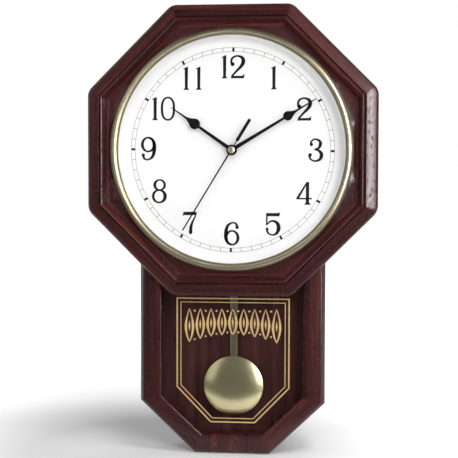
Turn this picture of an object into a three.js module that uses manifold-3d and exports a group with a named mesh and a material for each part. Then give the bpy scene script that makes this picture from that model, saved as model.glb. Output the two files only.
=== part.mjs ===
// A schoolhouse (drop-octagon) wall clock with a quartz pendulum movement.
// Millimetres, +Z up. The clock faces -Y, and the wall it hangs on is the plane y = 0.
// The origin is the point on the wall where the keyhole plate hangs on its nail.

import * as THREE from 'three';
import * as BufferGeometryUtils from 'three/addons/utils/BufferGeometryUtils.js';
import Module from 'manifold-3d';

const wasm = await Module();
wasm.setup();

// ---- Driving dimensions -------------------------------------------------------------------

const gap = 0.3; // clearance left between neighbouring pieces

// The case, measured from the centre of the octagonal head.
const headDrop = 75; // head centre below the hanging point
const headFlats = 290; // octagon width across its flats
const headCornerRadius = 14; // rounding of the octagon's corners
const headOpening = 117.6; // radius of the round opening through the head rails
const headBoardInset = 5; // the backing board is this much smaller than the octagon
const headBoardHole = 92; // radius of the movement opening in the backing board
const trunkHalf = 94; // half the trunk's width
const trunkShoulder = 254; // where the trunk's slanted corners start, below the head centre
const trunkFoot = 307; // the trunk's lower edge, below the head centre
const trunkFootHalf = 38; // half the width of the lower edge
const boxTop = 100; // top of the case box, above the head centre
const boardThickness = 8;
const sideRailWidth = 22;
const lowerRailWidth = 19;
const glassTop = -130; // upper edge of the trunk glass
const beadFoot = -245; // lower end of the glazing beads
const beadWidth = 5;

// Depths, all as y, from the wall at 0 towards the front.
const boxFront = -37.7;
const frameBack = -38;
const frameFront = -50;
const railBack = frameFront - gap;
const dialFront = -51.1;
const glassBack = -63.3;
const glassFront = -65.3;
const backPanelRear = -4;
const backPanelFront = -7;
const plateRear = -2.5;
const plateFront = -3.7;
const trunkGlassRear = -35.4;
const trunkGlassFront = -37.4;
const beadRear = -30.1;

// Back panel openings and the keyhole plate.
const accessHalf = 42; // the access opening, from the dial centre
const accessTop = 35;
const accessFoot = 98;
const hangerHalf = 23; // the keyhole plate, from the hanging point
const hangerTop = 6;
const hangerFoot = -14;
const slotHalf = 2;
const entryRadius = 4.5;
const entryDrop = 8;
const nailRoom = 8; // hole in the back panel that takes the nail's head
const nailRoomDrop = 5;
const screwSpread = 17;
const screwDrop = 4;
const screwHole = 1.7;
const screwTip = -6.5;
const screwRadius = 1.3;
const screwHeadRadius = 3.1;
const screwHeadHeight = 1.1;

// The dial insert and hands, measured from the dial centre.
const dialRise = 1; // the dial centre is this much above the octagon's centre
const dialRadius = 116;
const bezelOuter = 121;
const bezelInner = 114.6;
const hubRadius = 5.4;
const hourHandLength = 74.3;
const minuteHandLength = 98;
const secondHandLength = 94.4;
const secondHandTail = 35.6;
const hourHandAngle = 305; // degrees clockwise from twelve
const minuteHandAngle = 59;
const secondHandAngle = 211.3;
const handThickness = 0.6;
const panThickness = 0.8;
const panBore = 3.9; // hole in the dial pan and its washer
const panRim = 0.8; // thickness of the pan's rim

// Depths of the pieces on the dial's axis.
const washerFront = -50.1;
const washerRear = -49.1;
const nutFront = -53.6;
const bushFront = -54.6;
const hourHandRear = -56;
const hourPipeFront = -57.2;
const minuteHandRear = -58;
const cannonFront = -59.2;
const secondHandRear = -60.4;
const secondHandFront = -60.8;
const secondArborFront = -60.9;
const capRear = -61.1;
const capFront = -62.5;

// The quartz movement, measured from the dial centre.
const movementHalf = 28; // half the housing's width
const movementTop = 28;
const movementFoot = -84;
const housingFront = -48.9;
const housingRear = -33.5;
const housingWall = 1.5;
const coverFront = housingRear + gap;
const coverRear = coverFront + 1.5;
const batteryDrop = 41; // battery axis below the dial centre
const batteryRadius = 7.25;
const batteryHalf = 25.25;
const batteryStep = 1.5; // length of the cell's nub
const batteryNub = 2.7;
const pocketSpace = 1.2; // room above and below the battery in its pocket
const partition = 1.2;
const bushRadius = 3.5;
const bushBore = 2.95;
const contactHalf = 4;
const contactThickness = 0.5;
const contactFront = -46;
const contactRear = -36;
const driveCoilInner = 3;
const driveCoilOuter = 9;
const driveCoilFront = -37.2;
const driveCoilRear = -34;
const knobRear = -28.2;
const knobRadius = 6.1;
const knobGroove = 0.5;

// The pendulum, measured from the dial centre.
const pivotDrop = 56;
const bobDrop = 242;
const bobRadius = 31.3;
const rodHalf = 3.5;

const pivotRadius = 1.5;
const pivotRear = -20.5;
const armHalf = 4; // the hanger arm
const armHead = 5;
const armFoot = 92;
const armFront = -28.1;
const armRear = -25.1;
const hookDrop = 87; // the hook that carries the rod
const hookHalf = 1.5;
const hookHeight = 2.4;
const hookRear = -21.5;
const magnetDrop = 66;
const magnetRadius = 4;
const magnetLength = 2.8;
const rodFront = -24.6;
const rodRear = -23.4;
const bobDome = 8; // how far the bob's front bulges
const bobBackThickness = 0.5;

// The gear train: teeth, and modules that give each pair its centre distance.
const toothAddendum = 0.8;
const toothDedendum = 1.1;
const toothTipShare = 0.09; // half a tooth's tip, as a share of the tooth pitch
const toothRootShare = 0.25;
const gearThickness = 1.1;
const layerPitch = 1.5; // one gear layer and the space behind it
const firstLayer = housingFront + housingWall + 0.5;
const arborRadius = 0.4;
const secondToThird = { pinion: 8, wheel: 48, module: 0.4 };
const thirdToCentre = { pinion: 6, wheel: 60, module: 11.2 / 33 };
const reductionToSecond = { pinion: 8, wheel: 48, module: 0.4 };
const rotorToReduction = { pinion: 8, wheel: 40, module: 0.35 };
const cannonToTransfer = { pinion: 12, wheel: 36, module: 0.5 };
const transferToHour = { pinion: 10, wheel: 40, module: 0.48 };
const transferAngle = 90; // directions of the arbors from the dial axis, degrees
const thirdAngle = 330;
const reductionAngle = 210;
const rotorAngle = 200; // direction of the rotor from the reduction wheel

// ---- Materials ----------------------------------------------------------------------------

function finish(color, roughness, metalness = 0) {
  return new THREE.MeshStandardMaterial({ color, roughness, metalness });
}

const wood = finish('#43191b', 0.38);
const darkWood = finish('#2a1416', 0.5);
const fibreboard = finish('#6b4a33', 0.85);
const brass = finish('#b8a468', 0.25, 1);
const steel = finish('#9a9a98', 0.35, 1);
const copper = finish('#a8592c', 0.4, 1);
const dialWhite = finish('#f4f4f6', 0.5);
const glass = finish('#e6eeee', 0.05);
const handBlack = finish('#0c0c0d', 0.4);
const blackPlastic = finish('#18181a', 0.5);
const whitePlastic = finish('#dcdcd6', 0.45);
const rubber = finish('#222222', 0.9);
const magnet = finish('#3c3c40', 0.5, 0.6);
const circuitGreen = finish('#1f5a34', 0.5);
const batterySleeve = finish('#35507a', 0.35);

// ---- Shape helpers ------------------------------------------------------------------------

const radians = THREE.MathUtils.degToRad;

// The point at a distance from the centre, at an angle anticlockwise from +X seen from the front.
function polar(radius, angle) {
  return [radius * Math.cos(angle), radius * Math.sin(angle)];
}

// A closed outline through the given points, always anticlockwise.
function outline(points) {
  const corners = points.map(([x, z]) => new THREE.Vector2(x, z));
  if (THREE.ShapeUtils.isClockWise(corners)) {
    corners.reverse();
  }
  return new THREE.Shape(corners);
}

function circlePath(radius, [x, z] = [0, 0], sides = 16) {
  const points = [];
  for (let side = 0; side < sides; side += 1) {
    const [dx, dz] = polar(radius, (2 * Math.PI * side) / sides);
    points.push([x + dx, z + dz]);
  }
  return outline(points);
}

function rectanglePath(x0, z0, x1, z1) {
  return outline([[x0, z0], [x1, z0], [x1, z1], [x0, z1]]);
}

function withHoles(shape, ...holes) {
  shape.holes.push(...holes);
  return shape;
}

// A flat piece: its outline in X and Z, from its rear face forward to its front face.
function plate(shape, rear, front, curveSegments = 8) {
  const depth = rear - front;
  const geometry = new THREE.ExtrudeGeometry(shape, { depth, bevelEnabled: false, curveSegments });
  geometry.rotateX(Math.PI / 2);
  geometry.translate(0, rear, 0);
  return geometry;
}

// A turned piece about a Y axis. The profile lists radius and y, anticlockwise.
function turned(profile, segments = 16, [x, z] = [0, 0]) {
  const points = profile.map(([radius, y]) => new THREE.Vector2(radius, y));
  return new THREE.LatheGeometry(points, segments).translate(x, 0, z);
}

function rod(radius, front, rear, centre = [0, 0], segments = 10) {
  return turned([[0, front], [radius, front], [radius, rear], [0, rear]], segments, centre);
}

function tube(inner, outer, front, rear, centre = [0, 0], segments = 16) {
  const profile = [[inner, front], [outer, front], [outer, rear], [inner, rear], [inner, front]];
  return turned(profile, segments, centre);
}

// A manifold solid of a closed geometry, without the empty triangles that turning leaves on an axis.
function solidFrom(geometry) {
  geometry.deleteAttribute('normal');
  geometry.deleteAttribute('uv');
  const merged = BufferGeometryUtils.mergeVertices(geometry, 1e-4);
  const vertProperties = new Float32Array(merged.attributes.position.array);
  const corners = merged.index.array;
  const kept = [];
  for (let i = 0; i < corners.length; i += 3) {
    const [a, b, c] = corners.slice(i, i + 3);
    if (a !== b && b !== c && c !== a) {
      kept.push(a, b, c);
    }
  }
  const triVerts = new Uint32Array(kept);
  return new wasm.Manifold(new wasm.Mesh({ numProp: 3, vertProperties, triVerts }));
}

function geometryFrom(solid) {
  const mesh = solid.getMesh();
  const geometry = new THREE.BufferGeometry();
  geometry.setAttribute('position', new THREE.BufferAttribute(mesh.vertProperties, 3));
  geometry.setIndex(new THREE.BufferAttribute(mesh.triVerts, 1));
  return geometry;
}

function joined(first, ...others) {
  return geometryFrom(others.reduce((sum, next) => sum.add(solidFrom(next)), solidFrom(first)));
}

function cut(body, ...tools) {
  return geometryFrom(tools.reduce((rest, tool) => rest.subtract(solidFrom(tool)), solidFrom(body)));
}

function common(a, b) {
  return geometryFrom(solidFrom(a).intersect(solidFrom(b)));
}

function addPiece(group, name, geometry, material) {
  const mesh = new THREE.Mesh(geometry, material);
  mesh.name = name;
  group.add(mesh);
}

// ---- Outlines of the case -----------------------------------------------------------------

const headHalf = headFlats / 2;
const octagonTurn = Math.PI / 4;
const cornerReach = 1 / Math.cos(octagonTurn / 2); // corner distance over flat distance

// An octagon of a given half width across the flats, with its corners rounded.
function octagonOutline(half, cornerRadius) {
  const shape = new THREE.Shape();
  for (let side = 0; side < 8; side += 1) {
    const direction = (side + 0.5) * octagonTurn;
    const [x, z] = polar((half - cornerRadius) * cornerReach, direction);
    shape.absarc(x, z, cornerRadius, direction - octagonTurn / 2, direction + octagonTurn / 2, false);
  }
  shape.closePath();
  return shape;
}

// ---- Head: eight mitred rails on a backing board ------------------------------------------

// The rail's section: distance in from the outer edge, and height above the rail's back.
const railDepth = 19.5;
const ledge = 15; // height of the flat ledge round the bezel
const ledgeInset = 37;
const toolReach = -80; // cutting tools reach past the clock's front
const railSection = [
  [0, 0],
  [0, 9.5],
  [2, 12],
  [12.5, 16.6],
  [12.9, 15.6],
  [14, 15.6],
  [14.6, railDepth - 0.6],
  [15.8, railDepth],
  [17.2, railDepth - 0.8],
  [22.4, ledge],
  [ledgeInset, ledge],
  [ledgeInset, 0],
];

function headRail(side) {
  const shape = outline(railSection.map(([inset, height]) => [headHalf - inset, height]));
  const bar = new THREE.ExtrudeGeometry(shape, { depth: headFlats, bevelEnabled: false });
  bar.translate(0, 0, -headHalf);
  // The section's first axis becomes the rail's outward direction +Z, its second becomes -Y.
  bar.applyMatrix4(new THREE.Matrix4().set(
    0, 0, 1, 0,
    0, -1, 0, railBack,
    1, 0, 0, 0,
    0, 0, 0, 1,
  ));
  const spread = Math.tan(octagonTurn / 2);
  const reach = headHalf + 10;
  const tip = gap / 2 / Math.sin(octagonTurn / 2);
  const sector = outline([[0, tip], [spread * reach, reach + tip], [-spread * reach, reach + tip]]);
  const rail = common(bar, plate(sector, 0, toolReach));
  const rounded = common(rail, plate(octagonOutline(headHalf, headCornerRadius), 0, toolReach, 4));
  rounded.rotateY(side * octagonTurn);
  return cut(rounded, rod(headOpening, toolReach, 0, [0, dialRise], 96));
}

const railNames = [
  'top', 'upper_right', 'right', 'lower_right', 'bottom', 'lower_left', 'left', 'upper_left',
];

function buildHead() {
  const group = new THREE.Group();
  group.position.z = -headDrop;
  railNames.forEach((name, side) => addPiece(group, `head_rail_${name}`, headRail(side), wood));
  const board = octagonOutline(headHalf - headBoardInset, headCornerRadius);
  withHoles(board, circlePath(headBoardHole, [0, dialRise], 48));
  addPiece(group, 'head_backing_board', plate(board, frameBack, frameFront, 3), fibreboard);
  return group;
}

// ---- Trunk: mitred front rails, and the case boards behind them ------------------------------

// The trunk's edge where its sides meet, moved inwards by one amount at the sides and another below.
function trunkCorners(sideInset, lowerInset) {
  const shoulder = new THREE.Vector2(trunkHalf, -trunkShoulder);
  const slant = new THREE.Vector2(trunkFootHalf, -trunkFoot).sub(shoulder);
  const inward = new THREE.Vector2(slant.y, -slant.x).normalize();
  const start = shoulder.clone().addScaledVector(inward, lowerInset);
  const sideX = trunkHalf - sideInset;
  const footZ = -trunkFoot + lowerInset;
  return {
    shoulder: [sideX, start.y + (slant.y / slant.x) * (sideX - start.x)],
    foot: [start.x + (slant.x / slant.y) * (footZ - start.y), footZ],
  };
}

// One piece of a mitred ring, a little short at both ends so that it clears its neighbours.
function mitredPiece(outerA, outerB, innerA, innerB, rear, front) {
  const along = new THREE.Vector2(outerB[0] - outerA[0], outerB[1] - outerA[1]).setLength(gap / 2);
  const move = ([x, z], sign) => [x + sign * along.x, z + sign * along.y];
  const points = [move(outerA, 1), move(outerB, -1), move(innerB, -1), move(innerA, 1)];
  return plate(outline(points), rear, front);
}

const mirrored = ([x, z]) => [-x, z];

// The five pieces that follow the trunk's edge: two sides, two slanted corners and the foot.
function addTrunkRing(group, suffix, widths, topAt, rear, front) {
  const outer = trunkCorners(0, 0);
  const inner = trunkCorners(widths.side, widths.lower);
  const outerTop = [trunkHalf, topAt(trunkHalf)];
  const innerTop = [trunkHalf - widths.side, topAt(trunkHalf - widths.side)];
  const side = [outerTop, outer.shoulder, innerTop, inner.shoulder];
  const corner = [outer.shoulder, outer.foot, inner.shoulder, inner.foot];
  const foot = [outer.foot, mirrored(outer.foot), inner.foot, mirrored(inner.foot)];
  addPiece(group, `trunk_${suffix}_right`, mitredPiece(...side, rear, front), wood);
  addPiece(group, `trunk_${suffix}_left`, mitredPiece(...side.map(mirrored), rear, front), wood);
  addPiece(group, `trunk_${suffix}_lower_right`, mitredPiece(...corner, rear, front), wood);
  addPiece(group, `trunk_${suffix}_lower_left`, mitredPiece(...corner.map(mirrored), rear, front), wood);
  addPiece(group, `trunk_${suffix}_foot`, mitredPiece(...foot, rear, front), wood);
}

// An outline that fills the trunk to a given inset from its edge, up to a given height.
function trunkFill(inset, top) {
  const { shoulder, foot } = trunkCorners(inset, inset);
  const right = [foot, shoulder, [shoulder[0], top]];
  return outline([...right, ...right.map(mirrored).reverse()]);
}

function buildTrunk() {
  const group = new THREE.Group();
  group.position.z = -headDrop;

  // The side rails stop against the slanted lower edges of the head's backing board.
  const boardEdge = Math.SQRT2 * (headHalf - headBoardInset + gap);
  const railWidths = { side: sideRailWidth, lower: lowerRailWidth };
  addTrunkRing(group, 'rail', railWidths, (x) => x - boardEdge, frameBack, frameFront);

  const boardWidths = { side: boardThickness, lower: boardThickness };
  addTrunkRing(group, 'board', boardWidths, () => boxTop, 0, boxFront);
  const topHalf = trunkHalf - boardThickness - gap;
  const topBoard = rectanglePath(-topHalf, boxTop - boardThickness, topHalf, boxTop);
  addPiece(group, 'top_board', plate(topBoard, 0, boxFront), wood);

  const glazing = plate(trunkFill(boardThickness + gap, glassTop), trunkGlassRear, trunkGlassFront);
  addPiece(group, 'trunk_glass', glazing, glass);
  const bead = rectanglePath(topHalf - beadWidth, beadFoot, topHalf, glassTop);
  addPiece(group, 'glazing_bead_right', plate(bead, beadRear, trunkGlassRear + gap), darkWood);
  const leftBead = rectanglePath(-topHalf, beadFoot, beadWidth - topHalf, glassTop);
  addPiece(group, 'glazing_bead_left', plate(leftBead, beadRear, trunkGlassRear + gap), darkWood);
  return group;
}

// ---- Back panel and its hanging plate, about the hanging point --------------------------------

// A keyhole: a round entry with a narrower slot running up from it to the hanging point.
function keyholePath() {
  const path = new THREE.Path();
  const meet = Math.asin(slotHalf / entryRadius);
  const entryZ = -entryDrop;
  path.moveTo(slotHalf, -slotHalf);
  path.absarc(0, entryZ, entryRadius, Math.PI / 2 - meet, Math.PI / 2 + meet, true);
  path.absarc(0, -slotHalf, slotHalf, Math.PI, 0, true);
  return path;
}

function buildBack() {
  const group = new THREE.Group();
  const panel = trunkFill(boardThickness + gap, boxTop - boardThickness - gap);
  const access = rectanglePath(-accessHalf, dialRise - accessFoot, accessHalf, dialRise + accessTop);
  const holes = [access, circlePath(nailRoom, [0, headDrop - nailRoomDrop])];
  [-1, 1].forEach((sign) => holes.push(circlePath(screwHole, [sign * screwSpread, headDrop - screwDrop])));
  const panelGeometry = plate(withHoles(panel, ...holes), backPanelRear, backPanelFront);
  addPiece(group, 'back_panel', panelGeometry.translate(0, 0, -headDrop), fibreboard);

  const strip = rectanglePath(-hangerHalf, hangerFoot, hangerHalf, hangerTop);
  const stripHoles = [-1, 1].map((sign) => circlePath(screwHole, [sign * screwSpread, -screwDrop]));
  withHoles(strip, keyholePath(), ...stripHoles);
  addPiece(group, 'hanger_plate', plate(strip, plateRear, plateFront), steel);
  ['left', 'right'].forEach((name, index) => {
    const centre = [(2 * index - 1) * screwSpread, -screwDrop];
    const headBase = plateRear + gap;
    const profile = [
      [0, screwTip], [0.4, screwTip], [screwRadius, screwTip + 1.2], [screwRadius, headBase],
      [screwHeadRadius, headBase], [screwHeadRadius - 0.5, headBase + 0.8], [0, headBase + screwHeadHeight],
    ];
    addPiece(group, `hanger_screw_${name}`, turned(profile, 12, centre), steel);
  });
  return group;
}

// ---- Dial insert: bezel, glass, dial pan and hands ------------------------------------------

const dialSegments = 48;
const secondArbor = 0.6;
const secondBore = 0.85;

const bezelSection = [
  [bezelInner, glassFront - 0.9],
  [bezelInner + 2, glassFront - 3.1],
  [bezelInner + 2.8, glassFront - 2.5],
  [bezelOuter - 2, glassFront - 4.2],
  [bezelOuter - 0.4, glassFront - 3.3],
  [bezelOuter, glassFront - 1.7],
  [bezelOuter, glassFront - gap],
  [headOpening - gap, glassFront - gap],
  [headOpening - gap, glassBack + 3],
  [dialRadius + 0.5, glassBack + 3],
  [dialRadius + 0.5, glassFront - gap],
  [bezelInner, glassFront - gap],
  [bezelInner, glassFront - 0.9],
];

const panSection = [
  [panBore, dialFront],
  [dialRadius - panRim, dialFront],
  [dialRadius - panRim, glassBack + gap],
  [dialRadius, glassBack + gap],
  [dialRadius, dialFront + panThickness],
  [panBore, dialFront + panThickness],
  [panBore, dialFront],
];

// A hand pointing at twelve: a tapered stem, a round bulb drawn out into a fine tip, and a boss.
function handGeometry({ length, bulbAt, bulb, stemFoot, stemHead, boss, bore, rear }) {
  const neck = bulbAt + 2.2 * bulb;
  const neckHalf = 1;
  const tipHalf = 0.4;
  const stemStart = (boss + bore) / 2;
  const stemMeet = Math.acos(stemHead / bulb);
  const shoulder = radians(25);
  const shoulderX = bulb * Math.cos(shoulder);
  const shoulderZ = bulbAt + bulb * Math.sin(shoulder);
  const bend = [1.35 * neckHalf, bulbAt + 1.35 * bulb];
  const shape = new THREE.Shape();
  shape.moveTo(stemFoot, stemStart);
  shape.lineTo(stemHead, bulbAt - bulb * Math.sin(stemMeet));
  shape.absarc(0, bulbAt, bulb, -stemMeet, shoulder, false);
  shape.quadraticCurveTo(bend[0], bend[1], neckHalf, neck);
  shape.lineTo(tipHalf, length);
  shape.lineTo(-tipHalf, length);
  shape.lineTo(-neckHalf, neck);
  shape.quadraticCurveTo(-bend[0], bend[1], -shoulderX, shoulderZ);
  shape.absarc(0, bulbAt, bulb, Math.PI - shoulder, Math.PI + stemMeet, false);
  shape.lineTo(-stemFoot, stemStart);
  const front = rear - handThickness;
  return joined(plate(shape, rear, front, 5), tube(bore, boss, front, rear, [0, 0], 24));
}

// The second hand: a fine needle, and a tail with a wider strip on it as the counterweight.
function secondHandGeometry() {
  const hubReach = 2;
  const weightAt = 10.5;
  const weightHalf = 1.55;
  const needle = outline([
    [0.75, hubReach], [0.65, secondHandLength], [-0.65, secondHandLength], [-0.75, hubReach],
  ]);
  const neck = rectanglePath(-0.5, -weightAt - 0.5, 0.5, -hubReach);
  const weight = rectanglePath(-weightHalf, -secondHandTail, weightHalf, -weightAt);
  const flats = [needle, neck, weight].map((shape) => plate(shape, secondHandRear, secondHandFront));
  return joined(tube(secondBore, 3, secondHandFront, secondHandRear), ...flats);
}

function buildDial() {
  const group = new THREE.Group();
  group.position.z = dialRise - headDrop;
  addPiece(group, 'bezel_ring', turned(bezelSection, dialSegments), brass);
  addPiece(group, 'dial_glass', rod(dialRadius, glassFront, glassBack, [0, 0], dialSegments), glass);
  addPiece(group, 'dial_pan', turned(panSection, dialSegments), dialWhite);
  addPiece(group, 'dial_washer', tube(panBore, 9, washerFront, washerRear), rubber);
  addPiece(group, 'ring_nut', tube(bushRadius + 0.25, 5.2, nutFront, dialFront - gap), steel);

  const hour = handGeometry({
    length: hourHandLength, bulbAt: 45.5, bulb: 5.4, stemFoot: 1.95, stemHead: 1.35,
    boss: hubRadius, bore: 2.9, rear: hourHandRear,
  });
  addPiece(group, 'hour_hand', hour.rotateY(radians(hourHandAngle)), handBlack);
  const minute = handGeometry({
    length: minuteHandLength, bulbAt: 65.3, bulb: 4.7, stemFoot: 2, stemHead: 1.2,
    boss: hubRadius, bore: 1.95, rear: minuteHandRear,
  });
  addPiece(group, 'minute_hand', minute.rotateY(radians(minuteHandAngle)), handBlack);
  addPiece(group, 'second_hand', secondHandGeometry().rotateY(radians(secondHandAngle)), handBlack);
  const cap = [[0, capFront], [1.6, capFront + 0.2], [2.9, capFront + 0.8], [3.5, capRear], [0, capRear]];
  addPiece(group, 'second_hand_cap', turned(cap, 20), brass);
  return group;
}

// ---- Quartz movement: housing, motor, gear train and battery ----------------------------------

const transferAt = polar(24 * cannonToTransfer.module, radians(transferAngle));
const thirdAt = polar(28 * secondToThird.module, radians(thirdAngle));
const reductionAt = polar(28 * reductionToSecond.module, radians(reductionAngle));
const rotorStep = polar(24 * rotorToReduction.module, radians(rotorAngle));
const rotorAt = [reductionAt[0] + rotorStep[0], reductionAt[1] + rotorStep[1]];
const arborRear = coverRear - 0.5;
const arborFront = housingFront + 0.5;
const pivotHole = arborRadius + gap;
const stemRadius = 1; // the transfer wheel's arbor, which carries the setting knob
const pipeBore = 2; // the hour wheel's pipe, round the cannon pinion
const pipeOuter = 2.65;
const rotorRadius = 3;
const rotorLength = 2.4;
const cannonBore = 1;
const cannonOuter = 1.7;

// The front of a gear layer, counted from the dial side.
function layerFront(layer) {
  return firstLayer + layer * layerPitch;
}

// A toothed wheel about a Y axis. The phase is the angle of one tooth's middle.
function gear(teeth, module, phase, layer, bore = 0) {
  const pitchRadius = (teeth * module) / 2;
  const tip = pitchRadius + toothAddendum * module;
  const root = pitchRadius - toothDedendum * module;
  const pitch = (2 * Math.PI) / teeth;
  const points = [];
  for (let tooth = 0; tooth < teeth; tooth += 1) {
    const middle = phase + tooth * pitch;
    points.push(polar(root, middle - toothRootShare * pitch));
    points.push(polar(tip, middle - toothTipShare * pitch));
    points.push(polar(tip, middle + toothTipShare * pitch));
    points.push(polar(root, middle + toothRootShare * pitch));
  }
  const shape = outline(points);
  if (bore > 0) {
    shape.holes.push(circlePath(bore));
  }
  const front = layerFront(layer);
  return plate(shape, front + gearThickness, front);
}

// The tooth phase that meshes a wheel with a driver, given the direction from driver to wheel.
function meshedPhase(driverPhase, driverTeeth, wheelTeeth, angle) {
  const facing = radians(angle);
  const offset = ((driverPhase - facing) * driverTeeth) / wheelTeeth;
  return facing + Math.PI + Math.PI / wheelTeeth - offset;
}

function addWheel(group, name, material, at, ...pieces) {
  const geometry = pieces.length > 1 ? joined(...pieces) : pieces[0];
  addPiece(group, name, geometry.translate(at[0], 0, at[1]), material);
}

function buildTrain() {
  const group = new THREE.Group();
  const centre = [0, 0];

  const thirdPhase = meshedPhase(0, secondToThird.pinion, secondToThird.wheel, thirdAngle);
  const centrePhase = meshedPhase(0, thirdToCentre.pinion, thirdToCentre.wheel, thirdAngle + 180);
  const reductionPhase = meshedPhase(0, reductionToSecond.wheel, reductionToSecond.pinion, reductionAngle);
  const rotorPhase = meshedPhase(0, rotorToReduction.wheel, rotorToReduction.pinion, rotorAngle);
  const transferPhase = meshedPhase(0, cannonToTransfer.pinion, cannonToTransfer.wheel, transferAngle);
  const hourPhase = meshedPhase(0, transferToHour.pinion, transferToHour.wheel, transferAngle + 180);

  addWheel(
    group, 'second_wheel', whitePlastic, centre,
    rod(secondArbor, secondArborFront, arborRear),
    gear(secondToThird.pinion, secondToThird.module, 0, 3),
    gear(reductionToSecond.wheel, reductionToSecond.module, 0, 4),
  );
  addWheel(
    group, 'third_wheel', whitePlastic, thirdAt,
    rod(arborRadius, arborFront, arborRear),
    gear(thirdToCentre.pinion, thirdToCentre.module, 0, 2),
    gear(secondToThird.wheel, secondToThird.module, thirdPhase, 3),
  );
  addWheel(
    group, 'centre_wheel', brass, centre,
    gear(thirdToCentre.wheel, thirdToCentre.module, centrePhase, 2, cannonBore),
  );
  addWheel(
    group, 'reduction_wheel', whitePlastic, reductionAt,
    rod(arborRadius, arborFront, arborRear),
    gear(reductionToSecond.pinion, reductionToSecond.module, reductionPhase, 4),
    gear(rotorToReduction.wheel, rotorToReduction.module, 0, 5),
  );
  addWheel(
    group, 'rotor', magnet, rotorAt,
    rod(arborRadius, arborFront, arborRear),
    gear(rotorToReduction.pinion, rotorToReduction.module, rotorPhase, 5),
    rod(rotorRadius, layerFront(6), layerFront(6) + rotorLength, centre, 16),
  );
  addWheel(
    group, 'cannon_pinion', brass, centre,
    gear(cannonToTransfer.pinion, cannonToTransfer.module, 0, 1, cannonBore),
    tube(cannonBore, cannonOuter, cannonFront, layerFront(1) + 0.5),
  );
  addWheel(
    group, 'transfer_wheel', whitePlastic, transferAt,
    rod(stemRadius, arborFront, knobRear - 0.4, centre, 12),
    gear(transferToHour.pinion, transferToHour.module, 0, 0),
    gear(cannonToTransfer.wheel, cannonToTransfer.module, transferPhase, 1),
  );
  addWheel(
    group, 'hour_wheel', whitePlastic, centre,
    gear(transferToHour.wheel, transferToHour.module, hourPhase, 0, pipeBore),
    tube(pipeBore, pipeOuter, hourPipeFront, layerFront(0) + 0.5),
  );
  addWheel(group, 'set_knob', blackPlastic, transferAt, knobGeometry());
  return group;
}

// The ribbed knob on the rear end of the transfer wheel's arbor.
function knobGeometry() {
  const ribs = 20;
  const points = [];
  for (let rib = 0; rib < 2 * ribs; rib += 1) {
    points.push(polar(rib % 2 ? knobRadius - knobGroove : knobRadius, (rib * Math.PI) / ribs));
  }
  return plate(withHoles(outline(points), circlePath(stemRadius + gap)), knobRear, coverRear + 0.5);
}

// The movement's own outline, and the box-shaped pocket that holds the battery.
const movementOutline = (inset) => rectanglePath(
  inset - movementHalf, movementFoot + inset, movementHalf - inset, movementTop - inset,
);

function block(x0, z0, x1, z1, rear, front) {
  return plate(rectanglePath(x0, z0, x1, z1), rear, front);
}

// The housing is an open tray towards the rear, with a partition above and below the battery.
function housingGeometry(arborHoles, pocket) {
  const wallRear = housingFront + housingWall;
  const overlap = 0.5; // joined blocks run into each other by this much
  const face = withHoles(
    movementOutline(0), circlePath(bushRadius + gap),
    circlePath(stemRadius + gap, transferAt), ...arborHoles,
  );
  const walls = withHoles(movementOutline(0), movementOutline(housingWall));
  const inner = movementHalf - overlap;
  const partitions = [pocket.top, pocket.foot - partition].map(
    (z) => block(-inner, z, inner, z + partition, housingRear - 1, wallRear - overlap),
  );
  return joined(
    plate(face, wallRear, housingFront), plate(walls, housingRear, wallRear - overlap), ...partitions,
  );
}

// The cover closes the tray, leaves the battery open and carries the pendulum's pin.
function coverGeometry(arborHoles, pocket) {
  const window = rectanglePath(-batteryHalf - 1, pocket.foot, batteryHalf + 1, pocket.top);
  const rear = withHoles(
    movementOutline(0), window, circlePath(secondArbor + gap),
    circlePath(stemRadius + gap, transferAt), ...arborHoles,
  );
  const pivotPin = rod(pivotRadius, coverFront, pivotRear, [0, -pivotDrop], 12);
  return joined(plate(rear, coverRear, coverFront), pivotPin);
}

// A spool of winding that lies across the clock.
function motorCoilGeometry() {
  const half = 9;
  const flange = 0.8;
  const flangeRadius = 4.2;
  const winding = 3.8;
  const spool = [
    [0, -half], [flangeRadius, -half], [flangeRadius, flange - half], [winding, flange - half],
    [winding, half - flange], [flangeRadius, half - flange], [flangeRadius, half], [0, half],
  ];
  return turned(spool, 14).rotateZ(Math.PI / 2).translate(-13, -42.6, -24);
}

function batteryGeometry() {
  const shoulder = batteryHalf - batteryStep;
  const cell = [
    [0, -batteryHalf], [batteryRadius, -batteryHalf], [batteryRadius, shoulder],
    [batteryNub, shoulder], [batteryNub, batteryHalf], [0, batteryHalf],
  ];
  return turned(cell, 20).rotateZ(-Math.PI / 2).translate(0, coverRear - 8.2, -batteryDrop);
}

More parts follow.
